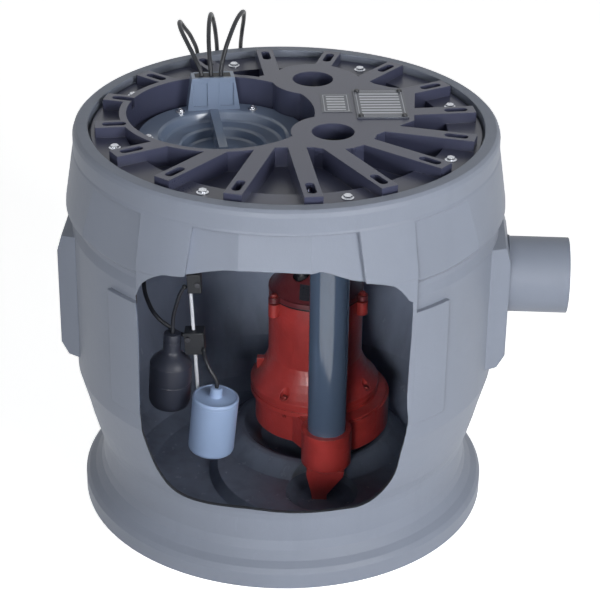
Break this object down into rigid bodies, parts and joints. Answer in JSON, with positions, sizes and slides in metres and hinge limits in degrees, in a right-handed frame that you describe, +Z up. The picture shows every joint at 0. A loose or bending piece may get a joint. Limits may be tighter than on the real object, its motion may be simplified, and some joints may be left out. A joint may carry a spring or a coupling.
{
  "type": "sump pump package",
  "caption": "Simplex sump pump package: moulded basin with a display window, ribbed cover, submersible pump, discharge pipe and two tethered floats.",
  "frame": {"origin": "middle of the basin's foot, on the floor", "axes": "+Z up; +X along the inlet pipe; -Y towards the display window"},
  "size_m": [0.761, 0.8554, 0.7034],
  "materials": {
    "basin_poly": "satin moulded",
    "cover_black": "textured moulded",
    "lid_slate": "satin moulded",
    "stainless": "bright",
    "brass_insert": "knurled",
    "rubber_black": "matt",
    "pump_red": "enamel over casting",
    "pipe_grey": "smooth",
    "plate_grey": "printed plate",
    "label_dark": "printed film",
    "float_black": "satin",
    "float_blue": "satin",
    "bright_steel": "ground",
    "lamination": "varnished",
    "winding": "varnished copper",
    "bronze": "cast",
    "fibre_board": "pressed",
    "black_plastic": "moulded"
  },
  "bodies": {
    "root": {"basin": "basin_poly", "inlet_stub": "basin_poly", "cover_inserts": "brass_insert", "cover_gasket": "rubber_black", "cover": "cover_black", "cover_bolts": "stainless", "access_lid": "lid_slate", "lid_gasket": "rubber_black", "lid_bolts": "stainless", "cord_seal": "rubber_black", "nameplate": "plate_grey", "nameplate_screws": "black_plastic", "info_label": "label_dark", "discharge_seal": "rubber_black", "vent_seal": "rubber_black", "discharge_pipe": "pipe_grey", "volute": "pump_red", "volute_bolts": "pump_red", "seal_housing": "pump_red", "shaft_seal": "rubber_black", "stator": "winding", "upper_bearing": "bright_steel", "lower_bearing": "bright_steel", "motor_housing": "pump_red", "cap_gasket": "rubber_black", "motor_cap": "pump_red", "cap_bolts": "pump_red", "cable_gland": "black_plastic", "pump_label": "label_dark", "terminal_board": "fibre_board", "run_capacitor": "black_plastic", "float_rod": "black_plastic", "rod_bracket": "black_plastic", "upper_clamp": "black_plastic", "lower_clamp": "black_plastic", "clamp_screws": "stainless", "pump_cord_inside": "rubber_black", "switch_cord_inside": "rubber_black", "alarm_cord_inside": "rubber_black", "pump_cord": "rubber_black", "switch_cord": "rubber_black", "alarm_cord": "rubber_black", "pump_cord_coil": "rubber_black", "switch_cord_coil": "rubber_black", "alarm_cord_coil": "rubber_black", "pump_plug": "black_plastic", "switch_plug": "black_plastic", "alarm_plug": "black_plastic", "cord_ties": "black_plastic"},
    "rotor": {"shaft": "bright_steel", "rotor_core": "lamination", "impeller": "bronze"},
    "alarm": {"alarm_float": "float_black", "alarm_capsule": "bright_steel", "alarm_tether": "rubber_black"},
    "switch": {"switch_float": "float_blue", "switch_capsule": "bright_steel", "switch_tether": "rubber_black"}
  },
  "joints": [
    {"name": "rotor_spin", "type": "hinge", "parent": "root", "child": "rotor", "pos_m": [0.045, 0.09, 0.2], "axis": [0, 0, 1], "continuous": true},
    {"name": "alarm_swing", "type": "hinge", "parent": "root", "child": "alarm", "pos_m": [-0.148, -0.061, 0.362], "axis": [-1, 0, 0], "range_deg": [0, 60]},
    {"name": "switch_swing", "type": "hinge", "parent": "root", "child": "switch", "pos_m": [-0.119, -0.0742, 0.262], "axis": [-0.9848, -0.174, 0], "range_deg": [0, 120]}
  ]
}
